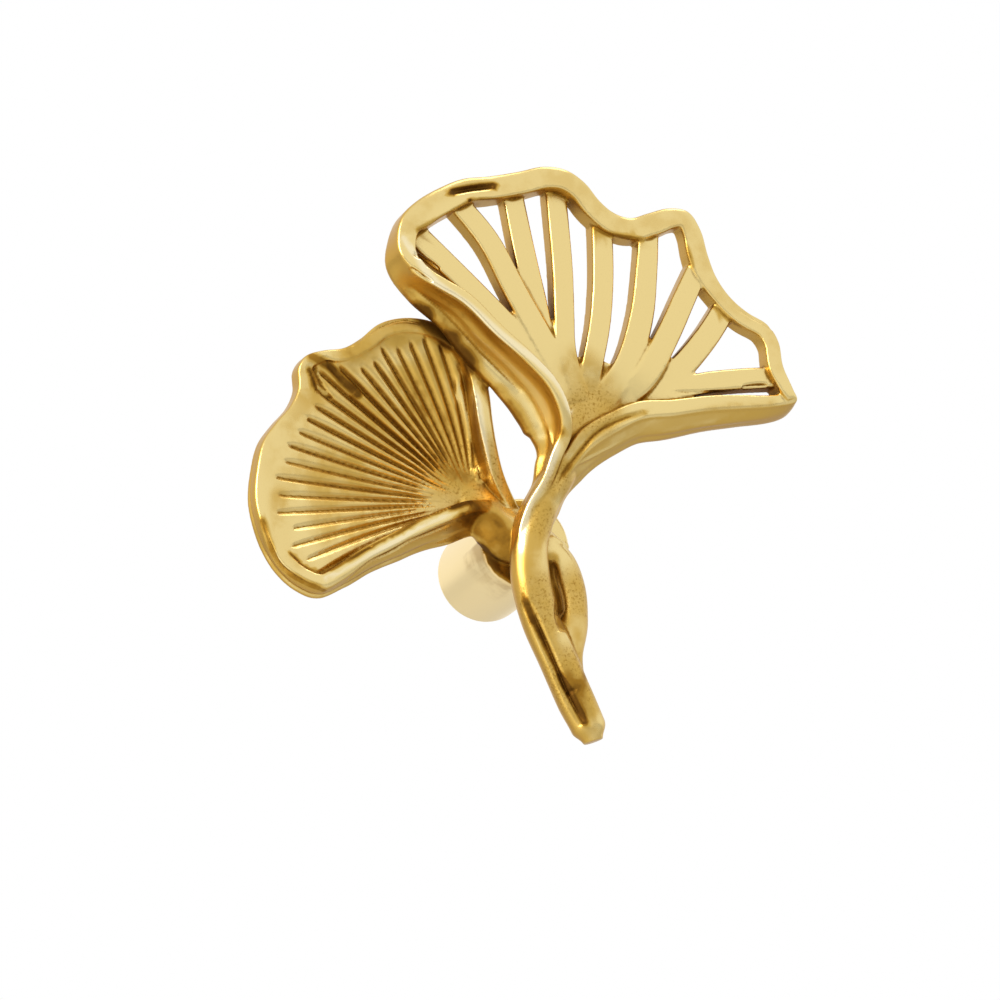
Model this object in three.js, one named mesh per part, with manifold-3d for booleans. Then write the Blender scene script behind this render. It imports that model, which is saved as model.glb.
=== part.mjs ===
// Leaf shaped cabinet pull: two ginkgo leaves on crossing stems, cast in one piece with a round post.
// Millimetres, +Z up. The front looks along -Y, and the middle of the post's back face is the origin.

import * as THREE from 'three';
import { mergeVertices } from 'three/addons/utils/BufferGeometryUtils.js';
import Module from 'manifold-3d';

const wasm = await Module();
wasm.setup();

// Post and screw hole
const POST_DIAMETER = 10.4;
const POST_LENGTH = 13.6;
const POST_CHAMFER = 0.4;
const BORE_DIAMETER = 3.3;
const BORE_DEPTH = 9;
const BORE_CHAMFER = 0.5;
const POST_SIDES = 48;
const DRILL_POINT = 0.6;

// Rounding of the cast edges
const EDGE_ROUND = 0.45;

// Outer wall of a leaf edge: shares of its lean, of its hollow and of its depth, from front to back
const WALL_SHAPE = [[0.35, 1, 0.35], [0.75, 1, 0.6], [1, 0, 0.85]];

// Fan floors: how they curve back towards their base
const FLOOR_CURVE = 1.3;

// Fineness: sections per span of a path, a floor's rings per ring of its back, steps along a rim,
// and how far the joined surface may move when its smallest facets are cleared
const EDGE_STEPS = 3;
const STEM_STEPS = 3;
const BACK_EVERY = 3;
const RIM_STEP = 0.1;
const SURFACE_TOLERANCE = 0.05;

// Open leaf: the edge is a ridge that climbs the left side, runs round the top and comes back on the right
const OPEN_EDGE = [
  [-2.6, -17.6, -3.3], [-2.6, -18.2, -0.2], [-1.9, -18.9, 2.7], [-0.5, -19.9, 5.6],
  [0.2, -21.0, 8.3], [0.7, -22.2, 10.3], [0.3, -22.9, 12.0], [-1.2, -23.5, 14.5],
  [-4.0, -23.6, 17.1], [-7.4, -23.6, 19.7], [-10.9, -23.6, 22.7], [-14.5, -23.4, 24.5],
  [-16.5, -23.2, 25.8], [-18.0, -23.0, 27.6], [-18.3, -22.9, 29.6], [-17.8, -23.1, 32.0],
  [-16.1, -23.3, 34.0], [-13.1, -23.1, 36.2], [-10.7, -22.9, 37.5], [-7.7, -22.7, 38.3],
  [-4.3, -22.9, 39.3], [-1.5, -23.2, 40.2], [1.1, -23.4, 40.1], [3.4, -23.2, 39.0],
  [5.3, -22.8, 37.3], [7.1, -22.5, 36.3], [9.1, -22.5, 36.0], [11.0, -22.9, 36.7],
  [13.3, -23.2, 37.5], [15.6, -23.3, 37.4], [17.2, -23.1, 35.5], [18.2, -22.8, 32.7],
  [19.3, -22.5, 30.4], [20.9, -22.4, 28.4], [22.8, -22.5, 26.9], [25.3, -22.7, 25.6],
  [26.5, -22.9, 23.6], [26.9, -23.0, 20.9], [28.1, -22.8, 18.5], [28.8, -22.4, 17.2],
  [26.2, -22.2, 16.2], [22.5, -22.0, 15.5], [18.3, -22.0, 14.7], [14.1, -22.0, 13.6],
  [10.6, -22.0, 12.8], [7.7, -21.8, 11.1], [5.5, -21.4, 9.5], [4.0, -20.6, 8.0], [2.7, -19.7, 5.9],
  [1.9, -18.9, 3.6], [1.3, -18.2, 1.2], [0.5, -17.6, -1.1],
];
const OPEN_EDGE_WIDTH = [
  [0, 1.1], [5, 1.4], [11, 1.4], [14, 2.2], [16, 3.0], [19, 2.7], [23, 2.5], [27, 2.7], [29, 2.2], [31, 2.6],
  [33, 2.0], [37, 1.9], [39, 1.3], [42, 1.9], [46, 2.5], [49, 1.3], [51, 1.2],
];
const OPEN_EDGE_DEPTH = [
  [0, 2.0], [4, 4.2], [7, 5.8], [11, 5.0], [14, 3.4], [22, 3.0], [28, 2.5], [36, 2.5], [40, 4.2],
  [46, 4.0], [51, 2.0],
];
const OPEN_EDGE_FLARE = [
  [0, 0], [3, 0], [4, 0.2], [5, 1.2], [6, 2.2], [7, 2.6], [9, 2.3], [12, 0.8], [15, 0], [32, 0], [34, 0.5],
  [36, 0.4], [38, 0], [40, 0.8], [44, 1.7], [47, 1.7], [49, 1.0], [51, 0],
];
const OPEN_EDGE_TILT = [[0, 0], [51, 0]];
const OPEN_EDGE_HOLLOW = [[0, 0], [4, 0.5], [9, 0.7], [13, 0], [38, 0], [42, -0.5], [48, -0.2], [51, 0]];

// Open leaf: nine flat ribs from the rim to the throat, each a middle line with a width at both ends
const RIB_THICKNESS = 2.1;
const RIBS = [
  {
    path: [
      [-16.4, -21.6, 31.4], [-9.8, -21.6, 25.9], [-5.0, -21.6, 21.8],
      [-0.7, -21.2, 18.2], [2.8, -20.2, 14.6],
    ],
    outerWidth: 2.8,
    innerWidth: 2.2,
  },
  {
    path: [
      [-11.7, -22.0, 35.6], [-7.5, -22.0, 31.1], [-4.4, -21.9, 25.8],
      [-0.7, -21.5, 20.1], [3.1, -20.4, 14.7],
    ],
    outerWidth: 2.6,
    innerWidth: 3.0,
  },
  {
    path: [
      [-4.5, -21.6, 37.0], [-3.3, -21.6, 31.2], [-2.1, -21.5, 26.2],
      [-0.2, -21.1, 19.7], [3.1, -20.1, 14.9],
    ],
    outerWidth: 2.5,
    innerWidth: 2.9,
  },
  {
    path: [
      [0.4, -21.9, 38.2], [1.2, -21.9, 28.9], [1.4, -21.8, 24.3],
      [1.8, -21.4, 19.9], [3.8, -20.4, 14.7],
    ],
    outerWidth: 2.5,
    innerWidth: 2.3,
  },
  {
    path: [
      [5.9, -21.8, 35.4], [6.0, -21.8, 28.9], [5.7, -21.6, 23.7],
      [5.0, -21.2, 19.2], [4.4, -20.2, 15.0],
    ],
    outerWidth: 2.5,
    innerWidth: 2.5,
  },
  {
    path: [
      [11.3, -22.2, 34.6], [11.0, -22.2, 30.1], [10.5, -21.9, 24.9],
      [8.9, -21.4, 19.0], [6.3, -20.4, 14.8],
    ],
    outerWidth: 2.4,
    innerWidth: 3.2,
  },
  {
    path: [
      [17.0, -22.3, 31.0], [15.5, -22.3, 27.6], [13.3, -22.2, 22.6],
      [10.8, -21.8, 17.8], [7.3, -20.8, 14.4],
    ],
    outerWidth: 2.5,
    innerWidth: 3.0,
  },
  {
    path: [
      [20.2, -22.0, 26.7], [18.3, -22.0, 23.6], [15.4, -21.7, 19.8],
      [12.2, -21.2, 16.7], [7.4, -20.4, 13.8],
    ],
    outerWidth: 2.7,
    innerWidth: 3.0,
  },
  {
    path: [
      [26.4, -22.1, 19.8], [21.9, -22.1, 19.0], [17.8, -21.8, 18.1],
      [12.7, -21.2, 16.3], [8.3, -20.4, 14.1],
    ],
    outerWidth: 2.4,
    innerWidth: 2.4,
  },
];

// Open leaf: the throat where the ribs run together
const THROAT_BASE = [1.4, -19.9, 6.0];
const THROAT_RIM = [
  [14.6, -20.8, 14.2], [12.5, -20.8, 17.2], [8.4, -20.7, 18.9], [4.6, -20.6, 19.6], [1.6, -20.6, 19.2],
  [-1.6, -20.7, 17.6], [-1.2, -20.7, 15.4],
];
const THROAT_BOW = [[0, 0], [1, 0]];
const THROAT_WALL = 2;
const THROAT_START = 0.1;
const THROAT_RINGS = 3;
const THROAT_PARTS = 4;
const THROAT_POINTS = 40;

// Closed leaf: a fluted cup inside an edge of its own
const CUP_EDGE = [
  [-4.4, -15.0, 2.6], [-6.7, -15.8, 2.0], [-9.2, -16.4, 0.7], [-11.7, -16.9, -0.7],
  [-14.6, -17.2, -2.5], [-17.1, -17.3, -4.0], [-19.3, -17.2, -5.5], [-21.4, -17.0, -7.2],
  [-23.9, -16.7, -8.7], [-26.2, -16.5, -8.1], [-28.3, -16.3, -6.5], [-29.8, -16.2, -4.4],
  [-30.9, -16.2, -1.8], [-31.5, -16.2, 0.9], [-31.3, -16.2, 4.3], [-30.7, -16.2, 7.1],
  [-29.3, -16.2, 9.4], [-27.7, -16.2, 11.5], [-26.9, -16.3, 13.6], [-27.0, -16.4, 15.8],
  [-26.2, -16.6, 17.2], [-24.3, -16.8, 18.0], [-22.1, -17.0, 18.5], [-20.2, -17.2, 19.8],
  [-18.3, -17.4, 21.6], [-16.1, -17.6, 22.5], [-13.3, -17.8, 22.7], [-10.5, -18.0, 21.9],
  [-8.0, -18.2, 20.1], [-6.4, -18.2, 17.5], [-5.7, -18.0, 14.8], [-5.2, -17.6, 12.1],
  [-4.5, -17.0, 9.6], [-3.5, -16.2, 7.1], [-2.2, -15.4, 5.0], [-0.8, -14.8, 3.1],
];
const CUP_EDGE_WIDTH = [
  [0, 1.4], [2, 1.7], [8, 1.7], [10, 1.6], [13, 2.4], [17, 2.4], [20, 1.4], [25, 1.8], [29, 2.0],
  [33, 1.6], [35, 1.2],
];
const CUP_EDGE_DEPTH = [[0, 3.2], [4, 3.6], [8, 2.8], [13, 2.4], [20, 2.6], [28, 4.0], [32, 3.4], [35, 2.4]];
const CUP_EDGE_FLARE = [
  [0, 1.9], [2, 1.8], [4, 1.1], [6, 0.8], [8, 0.4], [11, 0.3], [18, 0.1], [22, 0], [35, 0],
];
const CUP_EDGE_TILT = [[0, 0], [8, 0], [12, 0.17], [18, 0.17], [21, 0], [35, 0]];
const CUP_EDGE_HOLLOW = [[0, 0], [4, -0.2], [8, 0], [35, 0]];
const CUP_BASE = [-5.8, -13.5, 3.9];
const CUP_INSET = [[7, 0.9], [10, 0.5], [17, 0.5], [21, 0.9], [29, 1.1]];
const CUP_RECESS = [[7, 0.8], [11, 0.06], [17, 0.06], [21, 0.8], [29, 0.8]];
const CUP_BOW = [[0, -0.6], [0.25, 0], [0.7, 0], [1, -1.1]];
const CUP_WALL = 1.8;
const CUP_START = 0.08;
const CUP_RINGS = 9;
const FLUTES = 20;
const FLUTE_STEPS = 4;
const FLUTE_DEPTH = 0.5;
const FLUTE_START = [0.15, 0.4];
const FLUTE_END = [0.86, 0.93];

// Stems: middle lines with their half width
const FRONT_STEM = [
  [5.4, -18.3, 15.0], [3.7, -18.2, 11.5], [2.0, -17.9, 6.5], [0.5, -17.5, 3.6], [-0.2, -17.2, 1.2],
  [-0.9, -17.0, -1.5], [-0.7, -16.8, -5.1], [0.5, -16.6, -9.3], [2.5, -16.5, -13.5],
  [4.5, -16.4, -17.7], [6.0, -16.4, -20.6], [6.6, -16.4, -22.2],
];
const FRONT_STEM_RADIUS = [[0, 1.0], [1, 1.85], [4, 1.8], [6, 2.15], [9, 2.05], [10, 1.9], [11, 1.1]];
const FRONT_STEM_GROOVE = [[0, 0], [5, 0], [7, 0.4], [9, 0.5], [10, 0.55], [11, 0]];
const FRONT_STEM_FLATNESS = [[0, 1], [11, 1]];
const BACK_STEM = [
  [-6.6, -12.5, 7.2], [-5.6, -12.8, 5.4], [-4.3, -13.2, 3.0], [-2.2, -13.9, 0.8], [0.8, -14.7, -0.8],
  [3.0, -15.0, -2.2], [4.3, -15.2, -5.2], [4.5, -15.5, -8.9], [4.1, -15.8, -12.7], [4.7, -15.9, -16.0],
];
const BACK_STEM_RADIUS = [[0, 1.6], [1, 2.5], [2, 3.0], [3, 3.3], [4, 2.6], [5, 1.9], [7, 1.8], [9, 1.2]];
const BACK_STEM_GROOVE = [[0, 0], [9, 0]];
const BACK_STEM_FLATNESS = [[0, 0.4], [1, 0.4], [2, 0.6], [3, 0.6], [4, 0.75], [5, 1], [9, 1]];
const GROOVE_ANGLE = 1.7;
const GROOVE_SPREAD = 0.45;
const STEM_SIDES = 14;

// Makes a smooth open curve through a list of points.
function curveThrough(points) {
  return new THREE.CatmullRomCurve3(points.map((point) => new THREE.Vector3(...point)));
}

// Reads a value that runs smoothly through keys of [place, value].
function valueAt(keys, place) {
  const next = keys.findIndex((key) => key[0] >= place);
  if (next === 0) {
    return keys[0][1];
  }
  const [from, to] = [keys[next - 1], keys[next]];
  const share = THREE.MathUtils.smoothstep(place, from[0], to[0]);
  return THREE.MathUtils.lerp(from[1], to[1], share);
}

// Covers one closed section with triangles, as seen in its own plane.
function capOf(section) {
  const normal = new THREE.Vector3();
  section.forEach((point, index) => {
    const next = section[(index + 1) % section.length];
    normal.x += (point.y - next.y) * (point.z + next.z);
    normal.y += (point.z - next.z) * (point.x + next.x);
    normal.z += (point.x - next.x) * (point.y + next.y);
  });
  normal.normalize();
  const across = new THREE.Vector3().subVectors(section[1], section[0]);
  across.addScaledVector(normal, -across.dot(normal)).normalize();
  const up = new THREE.Vector3().crossVectors(normal, across);
  const flat = section.map((point) => new THREE.Vector2(point.dot(across), point.dot(up)));
  return THREE.ShapeUtils.triangulateShape(flat, []);
}

// Joins a row of closed sections with the same number of points into one closed skin.
function loft(sections) {
  const sides = sections[0].length;
  const position = sections.flat().flatMap((point) => point.toArray());
  const index = [];
  for (let row = 0; row + 1 < sections.length; row += 1) {
    for (let side = 0; side < sides; side += 1) {
      const a = row * sides + side;
      const b = row * sides + (side + 1) % sides;
      index.push(a, b, b + sides, a, b + sides, a + sides);
    }
  }
  const last = (sections.length - 1) * sides;
  capOf(sections[0]).forEach(([a, b, c]) => index.push(a, c, b));
  capOf(sections.at(-1)).forEach(([a, b, c]) => index.push(last + a, last + b, last + c));
  const geometry = new THREE.BufferGeometry();
  geometry.setAttribute('position', new THREE.Float32BufferAttribute(position, 3));
  geometry.setIndex(index);
  return geometry;
}

// Turns a closed geometry into a solid that faces out.
function solidOf(geometry) {
  geometry.deleteAttribute('normal');
  geometry.deleteAttribute('uv');
  const merged = mergeVertices(geometry, 1e-4);
  const position = merged.attributes.position.array;
  const corners = Array.from(merged.index.array);
  const corner = (number) => new THREE.Vector3().fromArray(position, number * 3);
  let volume = 0;
  for (let at = 0; at < corners.length; at += 3) {
    const [a, b, c] = corners.slice(at, at + 3).map(corner);
    volume += a.dot(b.cross(c));
  }
  if (volume < 0) {
    corners.reverse();
  }
  return new wasm.Manifold(new wasm.Mesh({
    numProp: 3,
    vertProperties: new Float32Array(position),
    triVerts: new Uint32Array(corners),
  }));
}

// Finds the outward direction of a path in the plane of the leaf.
function outwardOf(tangent) {
  return new THREE.Vector3(-tangent.z, 0, tangent.x).normalize();
}

// Sets a profile of [out, back] offsets square to a curve.
function placeProfile(curve, share, profile) {
  const point = curve.getPoint(share);
  const outward = outwardOf(curve.getTangent(share));
  return profile.map(([out, back]) => {
    const corner = point.clone().addScaledVector(outward, out);
    corner.y += back;
    return corner;
  });
}

// Leaf edge: a ridge whose front can tilt back inwards, and whose outer wall can lean out and hollow.
function leafEdge({ path, width, depth, flare, hollow, tilt }) {
  const curve = curveThrough(path);
  const count = (path.length - 1) * EDGE_STEPS;
  const sections = [];
  for (let station = 0; station <= count; station += 1) {
    const place = station / EDGE_STEPS;
    const w = valueAt(width, place);
    const d = valueAt(depth, place);
    const lean = valueAt(flare, place);
    const dip = valueAt(hollow, place);
    const sink = valueAt(tilt, place) * w;
    const wall = WALL_SHAPE.map(([leanShare, dipShare, depthShare]) => (
      [lean * leanShare - dip * dipShare, d * depthShare]));
    const profile = [
      [-w, sink + EDGE_ROUND], [EDGE_ROUND - w, sink], [-EDGE_ROUND, 0], [0, EDGE_ROUND], ...wall,
      [lean - EDGE_ROUND, d], [EDGE_ROUND - w, d], [-w, d - EDGE_ROUND],
    ];
    sections.push(placeProfile(curve, station / count, profile));
  }
  return loft(sections);
}

// Flat rib with slightly rounded front edges.
function rib({ path, outerWidth, innerWidth }) {
  const curve = curveThrough(path);
  const count = (path.length - 1) * STEM_STEPS;
  const soft = EDGE_ROUND / 2;
  const sections = [];
  for (let station = 0; station <= count; station += 1) {
    const half = THREE.MathUtils.lerp(outerWidth, innerWidth, station / count) / 2;
    const profile = [
      [-half, soft], [soft - half, 0], [half - soft, 0], [half, soft],
      [half, RIB_THICKNESS], [-half, RIB_THICKNESS],
    ];
    sections.push(placeProfile(curve, station / count, profile));
  }
  return loft(sections);
}

// Stem along its middle line, round or flattened, with a groove down its front.
function stem({ path, radius, flatness, groove }) {
  const curve = curveThrough(path);
  const count = (path.length - 1) * STEM_STEPS;
  const sections = [];
  for (let station = 0; station <= count; station += 1) {
    const point = curve.getPoint(station / count);
    const tangent = curve.getTangent(station / count);
    const side = outwardOf(tangent);
    const front = new THREE.Vector3().crossVectors(tangent, side).normalize();
    const place = station / STEM_STEPS;
    const r = valueAt(radius, place);
    const flat = valueAt(flatness, place);
    const cut = valueAt(groove, place);
    const section = [];
    for (let turn = 0; turn < STEM_SIDES; turn += 1) {
      const angle = turn / STEM_SIDES * 2 * Math.PI;
      const reach = r * (1 - cut * Math.exp(-(((angle - GROOVE_ANGLE) / GROOVE_SPREAD) ** 2)));
      section.push(point.clone()
        .addScaledVector(side, reach * Math.cos(angle))
        .addScaledVector(front, reach * flat * Math.sin(angle)));
    }
    sections.push(section);
  }
  return loft(sections);
}

// Fan shaped floor between a base point and a rim, with a bow at both sides and radial flutes.
function fanFloor({ base, rim, bow, start, wall, rings, flutes, fluteDepth }) {
  const centre = new THREE.Vector3(...base);
  const angleOf = (point) => {
    const angle = Math.atan2(point.z - centre.z, point.x - centre.x);
    return angle < -Math.PI / 2 ? angle + 2 * Math.PI : angle;
  };
  const count = flutes * FLUTE_STEPS;
  const sections = [];
  for (let station = 0; station <= count; station += 1) {
    const across = station / count;
    const angle = THREE.MathUtils.lerp(angleOf(rim[0]), angleOf(rim.at(-1)), across);
    const edge = rim.reduce((best, point) => (
      Math.abs(angleOf(point) - angle) < Math.abs(angleOf(best) - angle) ? point : best));
    const ray = new THREE.Vector3().subVectors(edge, centre);
    const side = outwardOf(ray);
    const sideways = valueAt(bow, across);
    const valley = 1 - Math.abs(Math.cos(station / FLUTE_STEPS * Math.PI));
    const front = [];
    const back = [];
    for (let ring = 0; ring <= rings; ring += 1) {
      const share = THREE.MathUtils.lerp(start, 1, ring / rings);
      const fade = THREE.MathUtils.smoothstep(share, ...FLUTE_START)
        * (1 - THREE.MathUtils.smoothstep(share, ...FLUTE_END));
      const point = centre.clone().addScaledVector(ray, share);
      point.y = THREE.MathUtils.lerp(centre.y, edge.y, share ** FLOOR_CURVE);
      point.addScaledVector(side, sideways * Math.sin(Math.PI * share));
      const behind = point.clone();
      behind.y += wall;
      point.y += fluteDepth * fade * valley;
      front.push(point);
      if (ring % BACK_EVERY === 0) {
        back.unshift(behind);
      }
    }
    sections.push([...front, ...back]);
  }
  return loft(sections);
}

// Points along part of a leaf edge, moved inwards and back.
function insetRim(path, inset, recess) {
  const curve = curveThrough(path);
  const points = [];
  for (let place = inset[0][0]; place <= inset.at(-1)[0]; place += RIM_STEP) {
    const share = place / (path.length - 1);
    const point = curve.getPoint(share);
    point.addScaledVector(outwardOf(curve.getTangent(share)), -valueAt(inset, place));
    point.y += valueAt(recess, place);
    points.push(point);
  }
  return points;
}

// Post with its screw hole, turned about the Y axis.
function post() {
  const outer = POST_DIAMETER / 2;
  const inner = BORE_DIAMETER / 2;
  const profile = [
    [0, -BORE_DEPTH - inner * DRILL_POINT], [inner, -BORE_DEPTH], [inner, -BORE_CHAMFER],
    [inner + BORE_CHAMFER, 0], [outer - POST_CHAMFER, 0], [outer, -POST_CHAMFER],
    [outer, POST_CHAMFER - POST_LENGTH], [outer - POST_CHAMFER, -POST_LENGTH], [0, -POST_LENGTH],
  ];
  return new THREE.LatheGeometry(profile.map(([x, y]) => new THREE.Vector2(x, y)), POST_SIDES);
}

const pieces = [
  post(),
  leafEdge({
    path: OPEN_EDGE,
    width: OPEN_EDGE_WIDTH,
    depth: OPEN_EDGE_DEPTH,
    flare: OPEN_EDGE_FLARE,
    hollow: OPEN_EDGE_HOLLOW,
    tilt: OPEN_EDGE_TILT,
  }),
  ...RIBS.map(rib),
  leafEdge({
    path: CUP_EDGE,
    width: CUP_EDGE_WIDTH,
    depth: CUP_EDGE_DEPTH,
    flare: CUP_EDGE_FLARE,
    hollow: CUP_EDGE_HOLLOW,
    tilt: CUP_EDGE_TILT,
  }),
  fanFloor({
    base: CUP_BASE,
    rim: insetRim(CUP_EDGE, CUP_INSET, CUP_RECESS),
    bow: CUP_BOW,
    start: CUP_START,
    wall: CUP_WALL,
    rings: CUP_RINGS,
    flutes: FLUTES,
    fluteDepth: FLUTE_DEPTH,
  }),
  fanFloor({
    base: THROAT_BASE,
    rim: curveThrough(THROAT_RIM).getPoints(THROAT_POINTS),
    bow: THROAT_BOW,
    start: THROAT_START,
    wall: THROAT_WALL,
    rings: THROAT_RINGS,
    flutes: THROAT_PARTS,
    fluteDepth: 0,
  }),
  stem({
    path: FRONT_STEM,
    radius: FRONT_STEM_RADIUS,
    flatness: FRONT_STEM_FLATNESS,
    groove: FRONT_STEM_GROOVE,
  }),
  stem({
    path: BACK_STEM,
    radius: BACK_STEM_RADIUS,
    flatness: BACK_STEM_FLATNESS,
    groove: BACK_STEM_GROOVE,
  }),
];

const joined = pieces.map(solidOf).reduce((whole, piece) => whole.add(piece));
const body = joined.simplify(SURFACE_TOLERANCE);
const { vertProperties, triVerts } = body.getMesh();
const casting = new THREE.BufferGeometry();
casting.setAttribute('position', new THREE.BufferAttribute(vertProperties, 3));
casting.setIndex(new THREE.BufferAttribute(triVerts, 1));
casting.computeVertexNormals();

const brass = new THREE.MeshStandardMaterial({ color: 0xcaa55a, metalness: 1, roughness: 0.35 });
const pull = new THREE.Mesh(casting, brass);
pull.name = 'leaf_pull';

const group = new THREE.Group();
group.add(pull);

export default group;
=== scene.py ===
import math

import bpy
import numpy as np
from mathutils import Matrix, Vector
from mathutils.bvhtree import BVHTree


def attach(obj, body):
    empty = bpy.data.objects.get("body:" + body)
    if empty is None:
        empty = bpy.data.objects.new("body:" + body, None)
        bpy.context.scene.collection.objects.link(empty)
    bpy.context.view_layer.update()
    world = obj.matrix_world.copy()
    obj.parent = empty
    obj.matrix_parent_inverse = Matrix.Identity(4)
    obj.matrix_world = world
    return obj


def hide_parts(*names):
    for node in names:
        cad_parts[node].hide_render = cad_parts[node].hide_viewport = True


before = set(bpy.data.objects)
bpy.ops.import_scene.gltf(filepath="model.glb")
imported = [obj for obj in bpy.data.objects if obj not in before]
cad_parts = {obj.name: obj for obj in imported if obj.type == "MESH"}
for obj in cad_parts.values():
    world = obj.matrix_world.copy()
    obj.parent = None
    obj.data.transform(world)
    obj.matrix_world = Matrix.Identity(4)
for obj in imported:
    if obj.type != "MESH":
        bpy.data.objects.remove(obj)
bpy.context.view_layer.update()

# Leaf shaped cabinet pull: an open leaf and a closed leaf on crossing stems, one brass casting.
# Lengths are in millimetres until the mesh is made. The front looks along -Y, up is +Z.

MM = 0.001
PHOTO_WIDTH = 1000

# Camera at the photograph's angle
CAMERA_AZIMUTH = -21.339
CAMERA_ELEVATION = -18.225
CAMERA_TARGET = (-3.10, -13.93, 4.46)
CAMERA_DISTANCE = 450.0
LENS = 150.0
SENSOR = 36.0
CLIP_START = 0.01

# Keys for a value that is nowhere, and for a stem as deep as it is wide
NONE = [[0, 0], [1, 0]]
ROUND = [[0, 1.0], [1, 1.0]]

# Post and threaded screw hole
POST_DIAMETER = 10.4
POST_LENGTH = 13.6
POST_CHAMFER = 0.4
POST_SIDES = 128
AXIS_RADIUS = 0.001
THREAD_DIAMETER = 4.0
THREAD_CREST_DIAMETER = 3.3
THREAD_PITCH = 0.7
THREAD_STEEPNESS = 2.6
THREAD_CREST_SHARE = 0.15
THREAD_SIDES = 64
THREAD_ROWS = 12
BORE_DEPTH = 9.0
DRILL_TIP = 0.6
SLEEVE_GAP = 0.05
SLEEVE_WALL = 0.15
SLEEVE_START = 0.02

# Section of a leaf's edge: how its front is rounded, where its wall leans and where the cut over the lip is
EDGE_STEPS = 8
EDGE_REACH = 0.3
EDGE_FRONT_POINTS = 21
EDGE_WALL_POINTS = 18
EDGE_ROUND = 0.5
EDGE_CORNER = 0.35
EDGE_INNER_POWER = 7.0
EDGE_OUTER_POWER = 3.0
EDGE_INNER_SHARE = 0.6
LEAN_END = 0.85
LEAN_POWER = 1.2
LIP_CUT_PLACE = 0.62
LIP_CUT_SPREAD = 0.1

# Open leaf: outer front edge of the rim, from the notch up the left fold, round the top and back
OPEN_EDGE = [
    [-2.6, -17.6, -3.3], [-2.6, -18.2, -0.2], [-1.9, -18.9, 2.7], [-0.5, -19.9, 5.6],
    [0.2, -21.0, 8.3], [0.7, -22.2, 10.3], [0.3, -22.9, 12.0], [-1.2, -23.5, 14.5],
    [-4.0, -23.6, 17.1], [-7.4, -23.6, 19.7], [-10.9, -23.6, 22.7], [-14.5, -23.4, 24.5],
    [-16.5, -23.2, 25.8], [-18.0, -23.0, 27.6], [-18.3, -22.9, 29.6], [-17.8, -23.1, 32.0],
    [-16.1, -23.3, 34.0], [-13.1, -23.1, 36.2], [-10.7, -22.9, 37.5], [-7.7, -22.7, 38.3],
    [-4.3, -22.9, 39.3], [-1.5, -23.2, 40.2], [1.1, -23.4, 40.1], [3.4, -23.2, 39.0],
    [5.3, -22.8, 37.3], [7.1, -22.5, 36.3], [9.1, -22.5, 36.0], [11.0, -22.9, 36.7],
    [13.3, -23.2, 37.5], [15.6, -23.3, 37.4], [17.2, -23.1, 35.5], [18.2, -22.8, 32.7],
    [19.3, -22.5, 30.4], [20.9, -22.4, 28.4], [22.8, -22.5, 26.9], [25.3, -22.7, 25.6],
    [26.5, -22.9, 23.6], [26.9, -23.0, 20.9], [28.1, -22.8, 18.5], [28.8, -22.4, 17.2],
    [26.2, -22.2, 16.2], [22.5, -22.0, 15.5], [18.3, -22.0, 14.7], [14.1, -22.0, 13.6],
    [10.6, -22.0, 12.8], [7.7, -21.8, 11.1], [5.5, -21.4, 9.5], [4.0, -20.6, 8.0], [2.7, -19.7, 5.9],
    [1.9, -18.9, 3.6], [1.3, -18.2, 1.2], [0.5, -17.6, -1.1],
]
OPEN_EDGE_WIDTH = [
    [0, 1.1], [5, 1.4], [11, 1.4], [14, 2.2], [16, 3.0], [19, 2.7], [23, 2.5], [27, 2.7], [29, 2.2],
    [31, 2.6], [33, 2.0], [37, 1.9], [39, 1.3], [42, 1.9], [46, 2.5], [49, 1.3], [51, 1.2],
]
OPEN_EDGE_DEPTH = [
    [0, 2.0], [4, 4.2], [7, 5.8], [11, 5.0], [14, 3.4], [22, 3.0], [28, 2.5], [36, 2.5], [40, 4.2],
    [46, 4.0], [51, 2.0],
]
OPEN_EDGE_FLARE = [
    [0, 0], [3, 0], [4, 0.45], [5, 1.9], [6, 2.55], [7, 2.75], [9, 2.3], [12, 0.8], [15, 0], [32, 0],
    [34, 0.5], [36, 0.4], [38, 0], [40, 0.8], [44, 1.7], [47, 1.7], [49, 1.0], [51, 0],
]
OPEN_EDGE_HOLLOW = [[0, 0], [4, 0.5], [9, 0.7], [13, 0], [38, 0], [42, -0.5], [48, -0.2], [51, 0]]
OPEN_EDGE_LIP = [[0, 0], [4, 0.1], [6, 0.35], [10, 0.35], [12, 0], [39, 0], [42, 0.15], [46, 0.1], [51, 0]]

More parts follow.
